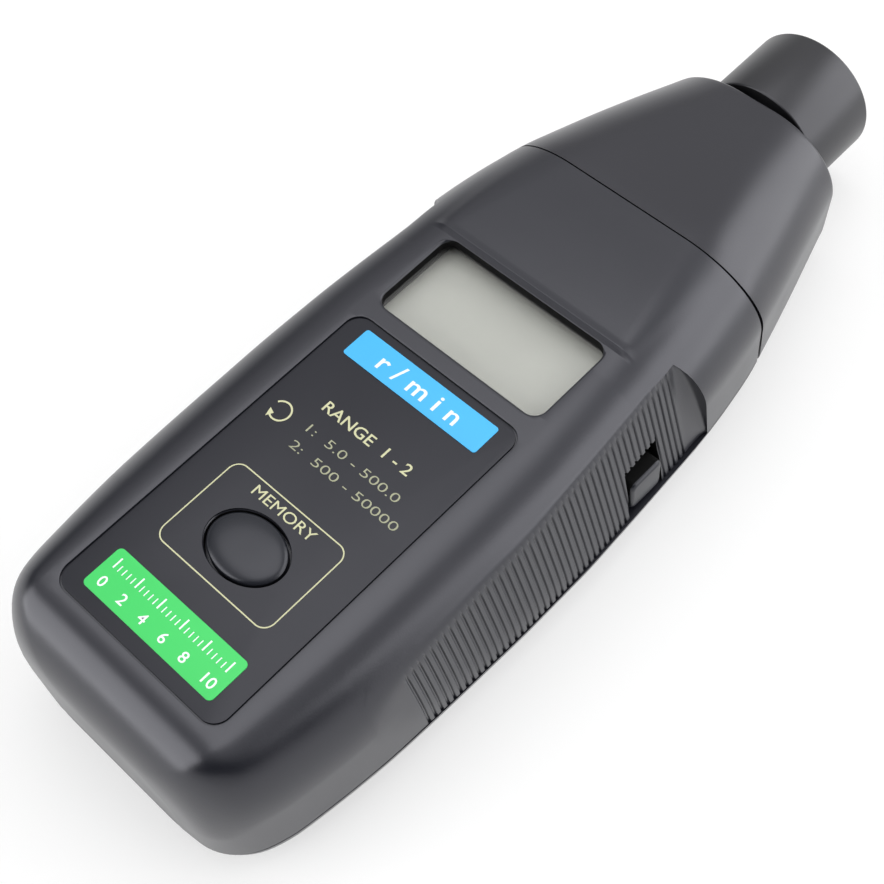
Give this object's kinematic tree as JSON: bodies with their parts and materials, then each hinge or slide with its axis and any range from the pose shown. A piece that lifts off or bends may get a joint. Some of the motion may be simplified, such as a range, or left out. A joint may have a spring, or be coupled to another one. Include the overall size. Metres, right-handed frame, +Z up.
{
  "type": "laser tachometer",
  "caption": "Hand-held laser tachometer with a tapered nose, lens barrel, recessed display, memory button, ribbed side grips and a side push button.",
  "frame": {"origin": "centre of the bounding box's bottom, the tachometer lying on its flat back", "axes": "+X across to the side with the push button, +Y along the body towards the lens barrel, +Z up out of the front face"},
  "size_m": [0.071, 0.1952, 0.0375],
  "materials": {
    "casing_plastic": "fine satin grain",
    "button_plastic": "satin",
    "label_film": "printed film",
    "green_film": "printed film",
    "blue_film": "printed film",
    "clear_glass": "polished",
    "display_glass": "grey-green reflective cell",
    "board_laminate": "solder mask",
    "plated_steel": "nickel plated",
    "brass": "turned",
    "zebra_rubber": "striped elastomer",
    "cell_wrap": "plain wrap",
    "dark_plastic": "moulded"
  },
  "bodies": {
    "case": {"barrel_nut": "dark_plastic", "battery_tray": "dark_plastic", "blue_badge": "blue_film", "capacitor": "plated_steel", "case_screw_1": "plated_steel", "case_screw_2": "plated_steel", "case_screw_3": "plated_steel", "case_screw_4": "plated_steel", "cell_1": "cell_wrap", "cell_2": "cell_wrap", "cell_3": "cell_wrap", "cell_4": "cell_wrap", "contact_link_1": "plated_steel", "contact_link_2": "plated_steel", "contact_plate_1": "plated_steel", "contact_plate_2": "plated_steel", "contact_plate_3": "plated_steel", "contact_spring_1": "plated_steel", "contact_spring_2": "plated_steel", "contact_spring_3": "plated_steel", "contact_spring_4": "plated_steel", "controller_chip": "dark_plastic", "crystal": "plated_steel", "display_frame": "dark_plastic", "display_glass": "display_glass", "display_window": "clear_glass", "front_case": "casing_plastic", "front_lens": "clear_glass", "green_badge": "green_film", "laser_module": "brass", "lens_barrel": "casing_plastic", "lens_ring": "dark_plastic", "main_board": "board_laminate", "memory_switch": "dark_plastic", "nose_cap": "casing_plastic", "optics_holder": "dark_plastic", "panel_label": "label_film", "photo_sensor": "dark_plastic", "rear_case": "casing_plastic", "sensor_board": "board_laminate", "side_switch": "dark_plastic", "switch_board": "board_laminate", "zebra_front": "zebra_rubber", "zebra_rear": "zebra_rubber"},
    "memory_button": {"memory_button": "button_plastic"},
    "side_button": {"side_button": "button_plastic"},
    "battery_door": {"battery_door": "casing_plastic"}
  },
  "joints": [
    {"name": "memory_press", "type": "slide", "parent": "case", "child": "memory_button", "axis": [0, 0, -1], "range_m": [0, 0.0006], "stiffness_N_per_m": 600},
    {"name": "side_press", "type": "slide", "parent": "case", "child": "side_button", "axis": [-1, 0, 0], "range_m": [0, 0.0012], "stiffness_N_per_m": 400},
    {"name": "battery_door_turn", "type": "hinge", "parent": "case", "child": "battery_door", "pos_m": [0, -0.0736, 0.00035], "axis": [-1, 0, 0], "range_deg": [0, 85]}
  ]
}
